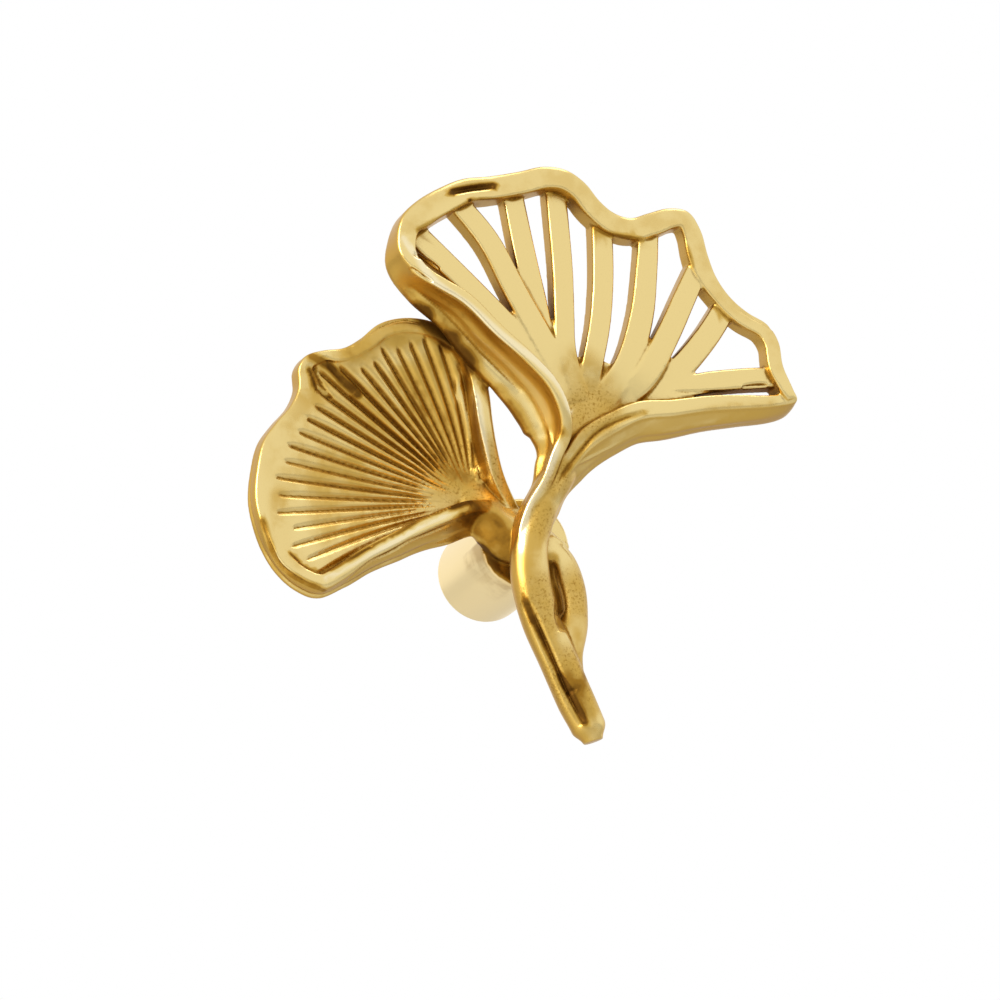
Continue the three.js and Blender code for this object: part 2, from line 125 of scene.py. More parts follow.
# Open leaf: nine flat ribs from the rim to the throat, each with its width at both ends
RIB_THICKNESS = 2.1
RIB_THINNING = 1.0
RIB_THINNING_START = 0.7
RIB_CROWN = 0.25
RIB_POWER = 7
RIB_ROWS = 61
RIB_FRONT_POINTS = 13
RIB_REACH = 0.05
RIBS = [
    ([[-16.4, -21.6, 31.4], [-9.8, -21.6, 25.9], [-5.0, -21.6, 21.8], [-0.7, -21.2, 18.2],
      [2.8, -20.2, 14.6]], 2.8, 2.2),
    ([[-11.7, -22.0, 35.6], [-7.5, -22.0, 31.1], [-4.4, -21.9, 25.8], [-0.7, -21.5, 20.1],
      [3.1, -20.4, 14.7]], 2.6, 3.0),
    ([[-4.5, -21.6, 37.0], [-3.3, -21.6, 31.2], [-2.1, -21.5, 26.2], [-0.2, -21.1, 19.7], [3.1, -20.1, 14.9]],
     2.5, 2.9),
    ([[0.4, -21.9, 38.2], [1.2, -21.9, 28.9], [1.4, -21.8, 24.3], [1.8, -21.4, 19.9], [3.8, -20.4, 14.7]],
     2.5, 2.3),
    ([[5.9, -21.8, 35.4], [6.0, -21.8, 28.9], [5.7, -21.6, 23.7], [5.0, -21.2, 19.2], [4.4, -20.2, 15.0]],
     2.5, 2.5),
    ([[11.3, -22.2, 34.6], [11.0, -22.2, 30.1], [10.5, -21.9, 24.9], [8.9, -21.4, 19.0], [6.3, -20.4, 14.8]],
     2.4, 3.2),
    ([[17.0, -22.3, 31.0], [15.5, -22.3, 27.6], [13.3, -22.2, 22.6], [10.8, -21.6, 17.8], [7.3, -20.1, 14.4]],
     2.5, 3.0),
    ([[20.2, -22.0, 26.7], [18.3, -22.0, 23.6], [15.4, -21.7, 19.8], [12.2, -21.1, 16.7], [7.4, -19.8, 13.8]],
     2.7, 3.0),
    ([[26.4, -22.1, 19.8], [21.9, -22.1, 19.0], [17.8, -21.8, 18.1], [12.7, -21.1, 16.3], [8.3, -19.8, 14.1]],
     2.4, 2.4),
]

# Open leaf: the throat where the ribs run together
THROAT_BASE = [1.4, -19.9, 6.0]
THROAT_RIM = [
    [14.6, -20.8, 14.2], [12.5, -20.8, 17.2], [8.4, -20.7, 18.9], [4.6, -20.6, 19.6], [1.6, -20.6, 19.2],
    [-1.6, -20.7, 17.6], [-1.2, -20.7, 15.4],
]
THROAT_RIM_POINTS = 60
THROAT_START = 0.1
THROAT_SECTORS = 4
THROAT_WALL = 2.0

# Closed leaf: outer front edge, from the post along the lower fold, round the left and back
CUP_EDGE = [
    [-4.4, -15.0, 2.6], [-6.7, -15.8, 2.0], [-9.2, -16.4, 0.7], [-11.7, -16.9, -0.7],
    [-14.6, -17.2, -2.5], [-17.1, -17.3, -4.0], [-19.3, -17.2, -5.5], [-21.4, -17.0, -7.2],
    [-23.9, -16.7, -8.7], [-26.2, -16.5, -8.1], [-28.3, -16.3, -6.5], [-29.8, -16.2, -4.4],
    [-30.9, -16.2, -1.8], [-31.5, -16.2, 0.9], [-31.3, -16.2, 4.3], [-30.7, -16.2, 7.1],
    [-29.3, -16.2, 9.4], [-27.7, -16.2, 11.5], [-26.9, -16.3, 13.6], [-27.0, -16.4, 15.8],
    [-26.2, -16.6, 17.2], [-24.3, -16.8, 18.0], [-22.1, -17.0, 18.5], [-20.2, -17.2, 19.8],
    [-18.3, -17.4, 21.6], [-16.1, -17.6, 22.5], [-13.3, -17.8, 22.7], [-10.5, -18.0, 21.9],
    [-8.0, -18.2, 20.1], [-6.4, -18.2, 17.5], [-5.7, -18.0, 14.8], [-5.2, -17.6, 12.1],
    [-4.5, -17.0, 9.6], [-3.5, -16.2, 7.1], [-2.2, -15.4, 5.0], [-0.8, -14.8, 3.1],
]
CUP_EDGE_WIDTH = [
    [0, 1.4], [2, 1.7], [8, 1.7], [10, 1.6], [13, 2.4], [17, 2.4], [20, 1.4], [25, 1.8], [29, 2.0],
    [33, 1.6], [35, 1.2],
]
CUP_EDGE_DEPTH = [[0, 3.2], [4, 3.6], [8, 2.8], [13, 2.4], [20, 2.6], [28, 4.0], [32, 3.4], [35, 2.4]]
CUP_EDGE_FLARE = [[0, 1.9], [2, 1.8], [4, 1.1], [6, 0.8], [8, 0.4], [11, 0.3], [18, 0.1], [22, 0], [35, 0]]
CUP_EDGE_TILT = [[0, 0], [8, 0], [12, 0.17], [18, 0.17], [21, 0], [35, 0]]
CUP_EDGE_HOLLOW = [[0, 0], [4, -0.2], [8, 0], [35, 0]]
CUP_EDGE_LIP = [[0, 0], [2, 0.2], [8, 0.3], [12, 0.15], [16, 0], [35, 0]]
CUP_BASE = [-5.8, -13.5, 3.9]
CUP_INSET = [[7, 0.9], [10, 0.5], [17, 0.5], [21, 0.9], [29, 1.1]]
CUP_RECESS = [[7, 0.8], [11, 0.06], [17, 0.06], [19, 0.35], [22, 0.1], [27, 0.1], [29, 0.6]]
CUP_BOW = [[0, -0.6], [0.25, 0], [0.7, 0], [1, -1.1]]
CUP_START = 0.08
CUP_WALL = 1.8
RIM_STEP = 0.05

# Floors of the leaves: a fan with flutes between its base and its rim, placed by shares of the way out
FLOOR_CURVE = 1.3
FLOOR_ROWS = 60
FLOOR_BACK_STRIDE = 6
FLUTES = 24
FLUTE_DEPTH = [[0, 0.25], [0.35, 0.35], [0.55, 0.6], [0.8, 0.4], [1, 0.25]]
FLUTE_WIDTH = 0.2
FLUTE_NARROWEST = 0.35
FLUTE_CROWN = 0.35
FLUTE_STEPS = 20
FLUTE_SEED = 4
FLUTE_UNEVENNESS = (0.8, 1.15)
FLUTE_FIRST = (0.05, 0.14)
FLUTE_LAST = (0.9, 0.96)
FLUTE_FADE_IN = 0.18
FLUTE_FADE_OUT = 0.04
FLUTE_FADE_BEYOND = 0.01
CROWN_RISE = (0.15, 0.35)
CROWN_FALL = (0.8, 0.95)

# Stems: middle lines with half width, depth as a share of width, and the groove down the front
STEM_SIDES = 48
STEM_STEPS = 10
STEM_REACH = 0.1
FRONT_STEM = [
    [5.4, -18.3, 15.0], [3.7, -18.2, 11.5], [2.0, -17.9, 6.5], [0.5, -17.5, 3.6], [-0.2, -17.2, 1.2],
    [-0.9, -17.0, -1.5], [-0.7, -16.8, -5.1], [0.5, -16.6, -9.3], [2.5, -16.5, -13.5],
    [4.5, -16.4, -17.7], [6.0, -16.4, -20.6], [6.6, -16.4, -22.2],
]
FRONT_STEM_RADIUS = [[0, 1.0], [1, 1.85], [4, 1.8], [6, 2.15], [9, 2.05], [10, 1.9], [11, 1.1]]
FRONT_STEM_GROOVE = [[0, 0], [5, 0], [7, 0.15], [10, 0.2], [11, 0]]
BACK_STEM = [
    [-6.6, -12.5, 7.2], [-5.6, -12.8, 5.4], [-4.3, -13.2, 3.0], [-2.2, -13.9, 0.8], [0.8, -14.7, -0.8],
    [3.0, -15.0, -2.2], [4.3, -15.2, -5.2], [4.5, -15.5, -8.9], [4.1, -15.8, -12.7],
    [4.7, -15.9, -16.0],
]
BACK_STEM_RADIUS = [[0, 2.2], [1, 3.1], [2, 3.0], [3, 3.3], [4, 2.6], [5, 1.9], [7, 1.8], [9, 1.2]]
BACK_STEM_FLAT = [[0, 0.4], [1, 0.4], [2, 0.6], [3, 0.6], [4, 0.75], [5, 1.0], [9, 1.0]]
GROOVE_ANGLE = 1.7
GROOVE_SPREAD = 0.4

# Fused mesh
VOXEL = 0.12
SMOOTH_STEPS = 5
MOST_TRIANGLES = 190000

# Marks on the mesh for the material, with limits in millimetres
SINK_STEPS = 30
SUNK_LIMITS = (0.02, 0.1)
WORN_LIMITS = (0.06, 0.14)
POST_MARGIN = 0.1
POST_FRONT_MARGIN = 0.2
LINE_SAMPLES = 12
LINE_REACH = 3
STROKE_CORE = 0.25
SPOT_CORE = 0.5

# Brass: colours, and limits and amounts for mixing them
POLISHED_COLOUR = (0.82, 0.64, 0.27, 1)
# Pale colour of the painted highlights
PAINTED_HIGHLIGHT_COLOUR = (0.94, 0.84, 0.58, 1)
CAST_COLOUR = (0.60, 0.38, 0.08, 1)
# Walls: their cast colour, darkened with painted shade
WALL_CAST_AND_SHADE_COLOUR = (0.54, 0.31, 0.055, 1)
DEEP_COLOUR = (0.34, 0.17, 0.02, 1)
RECESS_COLOUR = (0.10, 0.04, 0.006, 1)
POST_COLOUR = (0.97, 0.77, 0.40, 1)
POLISH_FACING = (0.45, 0.92)
WALL_FACING = (0.1, 0.5)
PAINTED_HIGHLIGHT_AMOUNT = 0.7
ROUGH_LOSS = 0.75
SPECKLE_AMOUNT = 0.45
# How far the painted shade of ambient occlusion reaches
OCCLUSION_SHADE_DISTANCE = 0.002
GRAIN_SCALE = 3.5
CLOUD_SCALE = 0.35
CAST_ROUGHNESS = 0.34
POLISHED_ROUGHNESS = 0.22
GRIME_ROUGHNESS = 0.2
BUMP_STRENGTH = 0.35
BUMP_DISTANCE = 0.00012

# Studio, in metres
FLOOR_HEIGHT = -0.17
FLOOR_SIZE = 6
FLOOR_COLOUR = (0.8, 0.8, 0.8, 1)
FLOOR_ROUGHNESS = 0.8
LIGHT_TARGET = (0, -0.015, 0.008)
WHITE = (1, 1, 1, 1)
AMBIENT_STRENGTH = 0.75

# Creases and ridges of the casting, as the photograph shows them: pixel points with half width and depth.
# A negative depth stands proud.
LINES = [
    ([(452, 192), (470, 188), (494, 186)], 0.3, 0.6),
    ([(730, 305), (750, 316), (765, 324), (775, 333), (780, 345)], 0.22, 0.18),
    ([(413, 252), (425, 260), (440, 270)], 0.25, 0.45),
    ([(410, 268), (421, 275), (433, 283)], 0.25, 0.35),
    ([(410, 285), (440, 310), (460, 330), (480, 352), (500, 372), (520, 392)], 0.35, 0.22),
    ([(556, 490), (563, 475), (580, 452), (598, 432), (620, 420), (645, 412)], 0.3, 0.3),
    ([(742, 388), (755, 386), (768, 385)], 0.25, 0.6),
    ([(672, 392), (700, 392), (730, 391)], 0.2, 0.15),
    ([(460, 519), (435, 530), (410, 541), (390, 552), (370, 562), (345, 582)], 0.3, 0.22),
    ([(262, 520), (270, 545), (280, 565), (300, 580), (325, 591)], 0.28, 0.35),
    ([(527, 603), (536, 622), (548, 650), (565, 690), (577, 712), (584, 724)], 0.5, 0.75),
    ([(550, 560), (552, 580), (557, 600), (560, 620), (563, 632)], 0.7, 0.6),
    ([(564, 697), (570, 692), (577, 688)], 0.2, 0.3),
    ([(552, 535), (561, 542), (570, 548)], 0.3, -0.15),
    ([(352, 346), (372, 331), (400, 320), (425, 323)], 0.2, 0.22),
    ([(462, 367), (458, 385), (455, 407)], 0.35, -0.15),
    ([(314, 366), (321, 382), (331, 400)], 0.3, 0.3),
    ([(475, 466), (480, 474), (486, 482)], 0.6, -0.4),
    ([(322, 357), (336, 372), (354, 394)], 0.45, 0.4),
]

# Rough cast places that the polishing didn't reach: middle and radius
ROUGH_SPOTS = [
    ((5.0, -20.0, 13.5), 4.5), ((1.0, -19.0, 6.0), 3.0), ((0.0, -18.5, 1.0), 3.0), ((0.5, -18.3, -8.0), 4.5),
    ((3.5, -18.0, -16.0), 5.0), ((-6.5, -15.0, 6.5), 6.0), ((5.0, -15.5, -6.0), 4.5),
]

# Tone of the metal along strokes, as the photograph shows them: pixel points with radius and amount.
# Strokes above 0 darken the metal, partly as its cast tone and partly as painted shade in creases, undercuts
# and under the stems;
# strokes below 0 are painted highlights. To 1 the metal goes from polished to cast, to 2 on to dark, and
# below 0 it is paler.
TONE_AND_LIGHT_STROKES = [
    ([(405, 228), (432, 195), (464, 183), (507, 184), (545, 175), (572, 182), (592, 205), (617, 223),
      (643, 226), (668, 217), (689, 231), (702, 262), (719, 293), (744, 311), (769, 331), (780, 361)],
     2.2, 0.3),
    ([(441, 297), (470, 322), (505, 352), (535, 380), (553, 404), (561, 432)], 0.8, 1.1),
    ([(404, 238), (420, 262), (437, 283), (470, 307), (505, 337), (540, 364), (562, 389), (571, 412)],
     0.7, -0.9),
    ([(476, 330), (505, 356), (533, 386), (550, 422)], 1.3, -0.2),
    ([(408, 296), (432, 325), (460, 352), (482, 380), (506, 404), (530, 442)], 1.9, 1.25),
    ([(452, 192), (472, 188), (494, 186)], 0.7, 2.0),
    ([(567, 202), (580, 216), (592, 226), (612, 235), (642, 240)], 0.6, 1.3),
    ([(470, 200), (502, 199), (520, 197), (546, 194), (562, 193)], 0.45, 1.2),
    ([(418, 230), (450, 212), (470, 201)], 0.45, 0.9),
    ([(668, 236), (684, 244), (692, 266)], 0.5, 1.0),
    ([(700, 296), (714, 307), (730, 320), (750, 334), (764, 350)], 0.45, 1.2),
    ([(580, 372), (600, 405), (580, 440)], 4.5, 0.5),
    ([(600, 462), (640, 434), (700, 416), (770, 405)], 1.5, 0.5),
    ([(563, 475), (580, 452), (598, 432), (620, 420), (645, 412)], 0.6, 0.9),
    ([(560, 470), (545, 500), (536, 530), (534, 575), (542, 620), (555, 660), (578, 705), (594, 736)],
     1.9, 0.65),
    ([(557, 446), (547, 480), (531, 503), (524, 530), (521, 545)], 0.8, -1.0),
    ([(572, 548), (586, 580), (590, 620), (584, 660), (594, 700)], 2.8, 0.75),
    ([(525, 600), (545, 645), (568, 690), (585, 722)], 0.7, 1.2),
    ([(551, 560), (556, 590), (562, 625)], 1.4, 1.3),
    ([(519, 560), (521, 590), (527, 620)], 1.2, 0.5),
    ([(518, 590), (530, 640), (545, 680), (565, 715), (580, 740)], 1.2, 0.4),
    ([(470, 512), (492, 530), (508, 552)], 3.2, 1.5),
    ([(340, 450), (370, 430), (400, 460)], 14.0, 0.45),
    ([(578, 590), (583, 630), (580, 665), (574, 685)], 2.4, 0.6),
    ([(480, 552), (494, 570), (510, 590)], 1.6, 1.6),
    ([(262, 520), (270, 545), (280, 565), (300, 580), (325, 591)], 0.7, 1.4),
    ([(470, 501), (424, 518), (399, 532), (373, 546), (348, 560), (324, 572), (305, 567), (290, 553)],
     0.4, 1.3),
    ([(466, 508), (424, 525), (399, 539), (373, 553), (348, 567), (326, 579)], 0.5, -1.0),
    ([(335, 345), (372, 326), (400, 313), (430, 313), (456, 330)], 1.8, 0.8),
    ([(305, 375), (345, 400), (390, 440)], 4.0, 0.3),
    ([(312, 356), (326, 364), (342, 380), (358, 394)], 0.9, 1.3),
    ([(309, 370), (315, 388)], 0.5, 1.4),
    ([(355, 345), (385, 330), (430, 332), (460, 360)], 3.6, 0.8),
    ([(420, 380), (440, 430), (462, 470)], 4.0, 0.8),
    ([(345, 480), (345, 520), (345, 560)], 5.5, 0.35),
    ([(280, 500), (284, 545), (300, 562)], 2.0, 0.35),
    ([(474, 380), (479, 415), (484, 450), (490, 480)], 0.9, -0.9),
    ([(455, 540), (482, 550)], 1.2, 1.2),
]


def curve_at(points, shares):
    """Points on the smooth open curve through a list of points, at shares of its spans from 0 to 1."""
    given = np.array(points, float)
    ends = np.vstack([2 * given[0] - given[1], given, 2 * given[-1] - given[-2]])
    place = np.clip(shares, 0, 1) * (len(given) - 1)
    span = np.minimum(place.astype(int), len(given) - 2)
    t = (place - span)[:, None]
    p0, p1, p2, p3 = (ends[span + k] for k in range(4))
    pairs = ((p0, p1), (p1, p2), (p2, p3))
    d0, d1, d2 = (np.linalg.norm(b - a, axis=1, keepdims=True) ** 0.5 for a, b in pairs)
    start = ((p1 - p0) / d0 - (p2 - p0) / (d0 + d1) + (p2 - p1) / d1) * d1
    stop = ((p2 - p1) / d1 - (p3 - p1) / (d1 + d2) + (p3 - p2) / d2) * d1
    return p1 + start * t + (3 * (p2 - p1) - 2 * start - stop) * t**2 + (2 * (p1 - p2) + start + stop) * t**3


def tangent_at(points, shares, reach):
    """Unit direction of the curve, over a reach given in spans between two points."""
    step = reach / (len(points) - 1)
    along = curve_at(points, shares + step) - curve_at(points, shares - step)
    return along / np.linalg.norm(along, axis=1, keepdims=True)


def value_at(keys, place):
    """Values that run smoothly through keys of [place, value], and stay the same beyond the last key."""
    at, value = np.array(keys, float).T
    to = np.clip(np.searchsorted(at, place, side="left"), 1, len(at) - 1)
    share = np.clip((place - at[to - 1]) / (at[to] - at[to - 1]), 0, 1)
    share = share * share * (3 - 2 * share)
    return value[to - 1] + (value[to] - value[to - 1]) * share


def smoothstep(x, low, high):
    """A smooth rise from 0 at the low limit to 1 at the high one."""
    share = np.clip((x - low) / (high - low), 0, 1)
    return share * share * (3 - 2 * share)


def outward_of(tangent):
    """The direction out of the leaf, in the plane of its front."""
    out = np.stack([-tangent[:, 2], np.zeros(len(tangent)), tangent[:, 0]], axis=1)
    return out / np.linalg.norm(out, axis=1, keepdims=True)


def crowned(across, power):
    """How far a crowned face falls back, from 0 at its middle to 1 at its sides."""
    return 1 - (1 - np.abs(across) ** power) ** (1 / power)


def loft(sections):
    """Vertices and faces of a closed skin over a row of sections with the same number of points."""
    rows, sides = sections.shape[:2]
    faces = []
    for row in range(rows - 1):
        for side in range(sides):
            a = row * sides + side
            b = row * sides + (side + 1) % sides
            faces.append((a, b, b + sides, a + sides))
    faces.append(tuple(range(sides))[::-1])
    faces.append(tuple(range((rows - 1) * sides, rows * sides)))
    return sections.reshape(-1, 3), faces


def place_profile(centre, outward, out, back):
    """Puts profile offsets at each station of a path."""
    sections = centre[:, None, :] + outward[:, None, :] * out[:, :, None]
    sections[:, :, 1] += back
    return sections


def leaf_edge(path, width, depth, flare, hollow, lip, tilt):
    """A leaf's edge: crowned front, and an outer wall that leans, hollows and ends in a lip."""
    places = np.linspace(0, len(path) - 1, (len(path) - 1) * EDGE_STEPS + 1)
    shares = places / (len(path) - 1)
    keyed = (width, depth, flare, hollow, lip)
    wide, deep, lean, dip, cut = (value_at(keys, places)[:, None] for keys in keyed)
    across = np.linspace(-1, 1, EDGE_FRONT_POINTS)
    inner = across < 0
    front_out = (across - 1) / 2 * wide
    front_back = EDGE_ROUND * crowned(across, np.where(inner, EDGE_INNER_POWER, EDGE_OUTER_POWER))
    front_back = front_back * np.where(inner, EDGE_INNER_SHARE, 1.0)
    front_back = front_back - value_at(tilt, places)[:, None] * front_out
    down = np.linspace(0, 1, EDGE_WALL_POINTS)[1:]
    reach = np.minimum(down / LEAN_END, 1)
    lip_cut = cut * np.exp(-(((down - LIP_CUT_PLACE) / LIP_CUT_SPREAD) ** 2))
    wall_out = lean * reach**LEAN_POWER - dip * np.sin(math.pi * reach) - lip_cut
    wall_back = EDGE_ROUND + (deep - EDGE_CORNER - EDGE_ROUND) * down
    out = np.hstack([front_out, wall_out, lean - EDGE_CORNER, EDGE_CORNER - wide, -wide])
    back = np.hstack([front_back, wall_back, deep, deep, deep - EDGE_CORNER])
    outward = outward_of(tangent_at(path, shares, EDGE_REACH))
    return loft(place_profile(curve_at(path, shares), outward, out, back))


def rib(path, width_out, width_in):
    """A flat rib with soft front edges that changes its width along its length."""
    shares = np.linspace(0, 1, RIB_ROWS)
    wide = (width_out + (width_in - width_out) * shares)[:, None]
    across = np.linspace(-1, 1, RIB_FRONT_POINTS)
    front_out = (across - 1) / 2 * wide
    front_back = np.broadcast_to(RIB_CROWN * crowned(across, RIB_POWER), front_out.shape)
    thickness = (RIB_THICKNESS - RIB_THINNING * smoothstep(shares, RIB_THINNING_START, 1))[:, None]
    out = np.hstack([front_out, np.zeros(wide.shape), -wide])
    back = np.hstack([front_back, thickness, thickness])
    outward = outward_of(tangent_at(path, shares, RIB_REACH))
    centre = curve_at(path, shares) + outward * wide / 2
    return loft(place_profile(centre, outward, out, back))


def stem(path, radius, flat, groove):
    """A stem along its middle line, with a groove down its front."""
    places = np.linspace(0, len(path) - 1, (len(path) - 1) * STEM_STEPS + 1)
    shares = places / (len(path) - 1)
    tangent = tangent_at(path, shares, STEM_REACH)
    side = outward_of(tangent)
    front = np.cross(tangent, side)
    angle = np.linspace(0, 2 * math.pi, STEM_SIDES, endpoint=False)
    cut = value_at(groove, places)[:, None] * np.exp(-(((angle - GROOVE_ANGLE) / GROOVE_SPREAD) ** 2))
    reach = value_at(radius, places)[:, None] * (1 - cut)
    sections = (
        curve_at(path, shares)[:, None, :]
        + side[:, None, :] * (reach * np.cos(angle))[:, :, None]
        + front[:, None, :] * (reach * value_at(flat, places)[:, None] * np.sin(angle))[:, :, None]
    )
    return loft(sections)


def inset_rim(path, inset, recess):
    """Points along part of a leaf's edge, moved inwards and back."""
    places = np.arange(inset[0][0], inset[-1][0], RIM_STEP)
    shares = places / (len(path) - 1)
    points = curve_at(path, shares)
    points -= outward_of(tangent_at(path, shares, EDGE_REACH)) * value_at(inset, places)[:, None]
    points[:, 1] += value_at(recess, places)
    return points


def fan_floor(base, rim, bow, start, wall, flutes, depth):
    """A fan shaped floor between a base point and a rim, with radial flutes of uneven depth and length."""
    base = np.array(base)
    angle = np.arctan2(rim[:, 2] - base[2], rim[:, 0] - base[0])
    angle = np.where(angle < -math.pi / 2, angle + 2 * math.pi, angle)
    order = np.argsort(angle)
    across = np.linspace(0, 1, flutes * FLUTE_STEPS + 1)
    turned = angle[0] + (angle[-1] - angle[0]) * across
    edge = np.stack([np.interp(turned, angle[order], rim[order, k]) for k in range(3)], axis=1)
    ray = edge - base
    share = start + (1 - start) * np.linspace(0, 1, FLOOR_ROWS)
    front = base + ray[:, None, :] * share[None, :, None]
    front[:, :, 1] = base[1] + (edge[:, 1] - base[1])[:, None] * share**FLOOR_CURVE
    sideways = value_at(bow, across)[:, None] * np.sin(math.pi * share)
    front += outward_of(ray)[:, None, :] * sideways[:, :, None]
    back = front[:, ::-FLOOR_BACK_STRIDE].copy()
    back[:, :, 1] += wall
    phase = across * flutes
    number = np.minimum(phase.astype(int), flutes - 1)
    off = np.abs(phase - number - 0.5)[:, None]
    rng = np.random.default_rng(FLUTE_SEED)
    deep = value_at(depth, (np.arange(flutes) + 0.5) / flutes) * rng.uniform(*FLUTE_UNEVENNESS, flutes)
    first = rng.uniform(*FLUTE_FIRST, flutes)[number][:, None]
    last = rng.uniform(*FLUTE_LAST, flutes)[number][:, None]
    fade = smoothstep(share, first, first + FLUTE_FADE_IN)
    fade = fade * (1 - smoothstep(share, last - FLUTE_FADE_OUT, last + FLUTE_FADE_BEYOND))
    spacing = np.linalg.norm(ray, axis=1)[:, None] * share * abs(angle[-1] - angle[0]) / flutes
    half_width = FLUTE_WIDTH * (FLUTE_NARROWEST + (1 - FLUTE_NARROWEST) * fade)
    valley = np.exp(-((off * spacing / half_width) ** 2))
    front[:, :, 1] += deep[number][:, None] * valley * fade
    crown = smoothstep(share, *CROWN_RISE) * (1 - smoothstep(share, *CROWN_FALL))
    crown = crown * FLUTE_CROWN * value_at(depth, across)[:, None]
    front[:, :, 1] -= crown * np.sin(math.pi * off) ** 2
    return loft(np.concatenate([front, back], axis=1))


def rings(radius, along, turn):
    """Circles about the Y axis. The radius is one number, or differs by row or by point."""
    radius = np.broadcast_to(radius, (len(along), len(turn)))
    depth = np.broadcast_to(along[:, None], radius.shape)
    return np.stack([radius * np.cos(turn), depth, radius * np.sin(turn)], axis=2)


def post():
    """The post about the Y axis, with a hole for the threaded sleeve."""
    outer = POST_DIAMETER / 2
    hole = THREAD_DIAMETER / 2 + SLEEVE_GAP
    profile = np.array([
        [AXIS_RADIUS, -BORE_DEPTH - hole * DRILL_TIP],
        [hole, -BORE_DEPTH],
        [hole, 0],
        [outer - POST_CHAMFER, 0],
        [outer, -POST_CHAMFER],
        [outer, POST_CHAMFER - POST_LENGTH],
        [outer - POST_CHAMFER, -POST_LENGTH],
        [AXIS_RADIUS, -POST_LENGTH],
    ])
    turn = np.linspace(0, 2 * math.pi, POST_SIDES, endpoint=False)
    return loft(rings(profile[:, :1], profile[:, 1], turn))


def thread_sleeve():
    """The wall of the screw hole with its thread, open through the middle."""
    root = THREAD_DIAMETER / 2
    crest = THREAD_CREST_DIAMETER / 2
    turn = np.linspace(0, 2 * math.pi, THREAD_SIDES, endpoint=False)
    along = -np.linspace(SLEEVE_START, BORE_DEPTH, int(BORE_DEPTH / THREAD_PITCH * THREAD_ROWS))
    phase = (along[:, None] / THREAD_PITCH + turn / (2 * math.pi)) % 1
    flank = np.clip(np.abs(phase - 0.5) * THREAD_STEEPNESS - THREAD_CREST_SHARE, 0, 1)
    radius = crest + (root - crest) * flank
    radius = np.maximum(radius, (root + SLEEVE_GAP + along)[:, None])
    inner = rings(radius, along, turn)
    cover = rings(root + SLEEVE_WALL, along[[-1, 0]], turn)
    sections = np.concatenate([inner, cover]).transpose(1, 0, 2)
    sections = np.concatenate([sections, sections[:1]])
    vertices, faces = loft(sections)
    return vertices, faces[:-2]


def mesh_object(name, parts):
    """One Blender object from (vertices, faces) parts in millimetres."""
    vertices, faces, first = [], [], 0
    for part_vertices, part_faces in parts:
        vertices.append(part_vertices * MM)
        faces += [tuple(first + corner for corner in face) for face in part_faces]
        first += len(part_vertices)
    mesh = bpy.data.meshes.new(name)
    mesh.from_pydata(np.concatenate(vertices).tolist(), [], faces)
    mesh.update()
    made = bpy.data.objects.new(name, mesh)
    bpy.context.scene.collection.objects.link(made)
    return made


def apply_modifier(obj, kind, **settings):
    """Adds a modifier, applies it and keeps the result as the object's mesh."""
    modifier = obj.modifiers.new(kind.lower(), kind)
    for key, value in settings.items():
        setattr(modifier, key, value)
    shaped = bpy.data.meshes.new_from_object(obj.evaluated_get(bpy.context.evaluated_depsgraph_get()))
    obj.modifiers.clear()
    old = obj.data
    obj.data = shaped
    bpy.data.meshes.remove(old)


def vectors(mesh, kind):
    """One vector per vertex: its place or its normal."""
    values = np.zeros(len(mesh.vertices) * 3)
    mesh.vertices.foreach_get(kind, values)
    return values.reshape(-1, 3)


def coordinates(mesh):
    """The places of the vertices, in millimetres."""
    return vectors(mesh, "co") / MM


def set_coordinates(mesh, points):
    """Moves the vertices to places given in millimetres."""
    mesh.vertices.foreach_set("co", (points * MM).ravel())
    mesh.update()


def smoothed(mesh, points, steps):
    """Points moved halfway to the middle of their neighbours, step by step."""
    pairs = np.zeros(len(mesh.edges) * 2, int)
    mesh.edges.foreach_get("vertices", pairs)
    one, two = pairs.reshape(-1, 2).T
    count = len(points)
    touching = np.bincount(one, minlength=count) + np.bincount(two, minlength=count)
    touching = np.maximum(touching, 1)
    for _ in range(steps):
        middle = np.stack([
            (np.bincount(one, points[two, k], count) + np.bincount(two, points[one, k], count)) / touching
            for k in range(3)
        ], axis=1)
        points = points + (middle - points) / 2
    return points


def direction(azimuth, elevation):
    """Unit direction away from the pull, at an azimuth and an elevation in degrees."""
    turn = math.radians(azimuth)
    rise = math.radians(elevation)
    return np.array([math.sin(turn) * math.cos(rise), -math.cos(turn) * math.cos(rise), math.sin(rise)])


def camera_axes():
    """The camera's place and its right, up and forward directions, in millimetres."""
    away = direction(CAMERA_AZIMUTH, CAMERA_ELEVATION)
    right = np.cross([0, 0, 1], away)
    right /= np.linalg.norm(right)
    return np.array(CAMERA_TARGET) + away * CAMERA_DISTANCE, right, np.cross(away, right), -away


def where_seen(tree, pixel):
    """The point of the surface behind a pixel of the photograph."""
    eye, right, up, forward = camera_axes()
    scale = SENSOR / LENS / PHOTO_WIDTH
    half = PHOTO_WIDTH / 2
    sight = forward + right * (pixel[0] - half) * scale + up * (half - pixel[1]) * scale
    return tree.ray_cast(Vector(eye), Vector(sight).normalized())[0]


def surface_tree(mesh):
    """The mesh as a tree for finding what the camera sees, in millimetres."""
    return BVHTree.FromPolygons(coordinates(mesh).tolist(), [tuple(face.vertices) for face in mesh.polygons])


